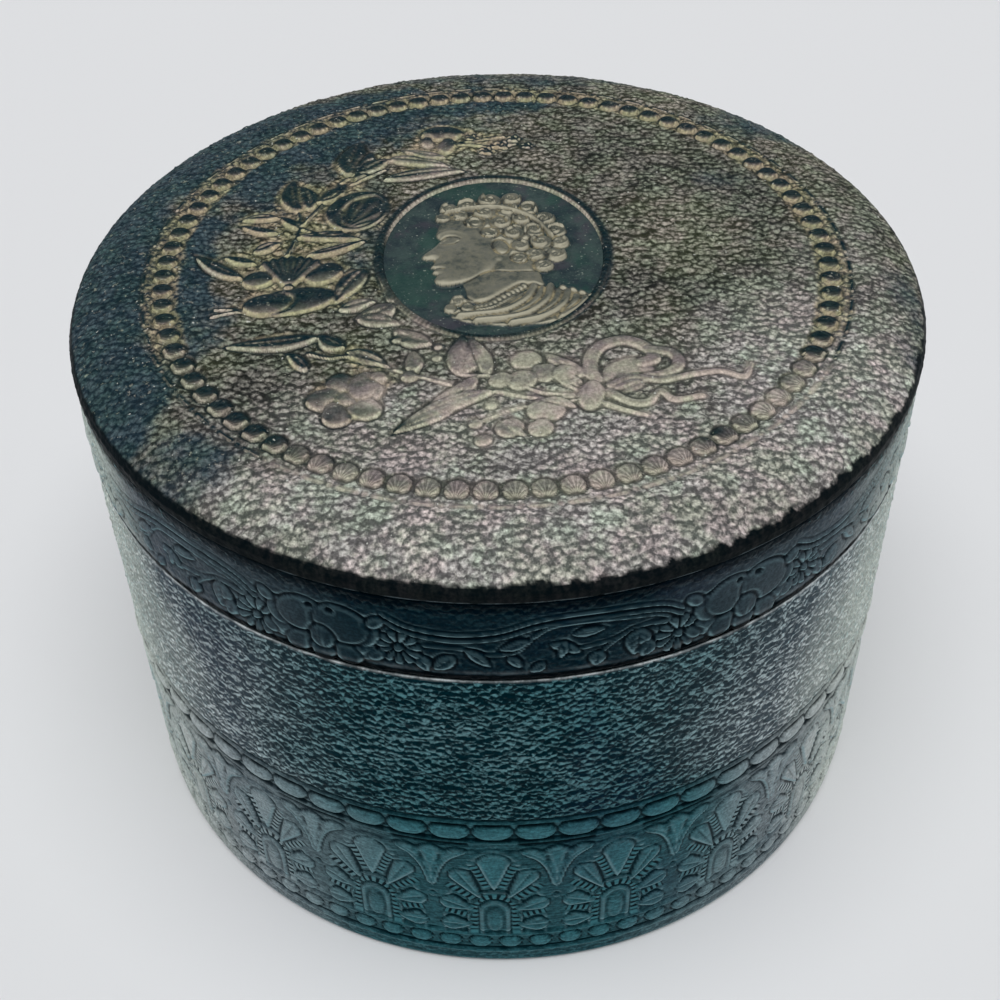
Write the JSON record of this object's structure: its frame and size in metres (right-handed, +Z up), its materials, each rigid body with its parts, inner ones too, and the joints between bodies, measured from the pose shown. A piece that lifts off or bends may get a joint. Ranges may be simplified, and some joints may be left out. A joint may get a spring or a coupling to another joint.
{
  "type": "collar box",
  "caption": "Round lidded box for rolled collars and cuffs, embossed covering over card, crowned lift-off lid, satin lining and a lidded stud pot.",
  "frame": {"origin": "centre of the round base, on the surface that the box stands on", "axes": "+Z up along the box's round axis, front (as pictured) towards -Y, +X to the right"},
  "size_m": [0.178, 0.178, 0.1284],
  "materials": {
    "side_cover": "embossed, satin, deep teal",
    "top_cover": "embossed, worn, taupe over dark teal",
    "card": "matt strawboard",
    "base_paper": "matt",
    "lining_paper": "moire, satin",
    "lining_satin": "satin",
    "pot_cover": "satin",
    "ribbon": "ribbed ribbon",
    "wadding": "cotton wadding"
  },
  "bodies": {
    "box_body": {"body_wall": "card", "base_board": "card", "base_paper": "base_paper", "body_cover": "side_cover", "neck_ring": "card", "wall_lining": "lining_paper", "floor_lining": "lining_satin", "stud_pot_base": "card", "stud_pot_wall": "card", "stud_pot_cover": "pot_cover", "stud_pot_lining": "lining_paper"},
    "lid": {"lid_wall": "card", "lid_board": "card", "lid_side_cover": "side_cover", "lid_wall_lining": "lining_paper", "lid_top_padding": "wadding", "lid_top_cover": "top_cover", "lid_pad_card": "card", "lid_pad": "lining_satin"},
    "stud_pot_lid": {"stud_lid_rim": "card", "stud_lid_board": "card", "stud_lid_lining": "lining_paper", "stud_lid_cover": "pot_cover", "stud_lid_tab": "ribbon"}
  },
  "joints": [
    {"name": "lid_lift", "type": "slide", "parent": "box_body", "child": "lid", "axis": [0, 0, 1], "range_m": [0, 0.09]},
    {"name": "stud_pot_lid_lift", "type": "slide", "parent": "box_body", "child": "stud_pot_lid", "axis": [0, 0, 1], "range_m": [0, 0.03]}
  ]
}
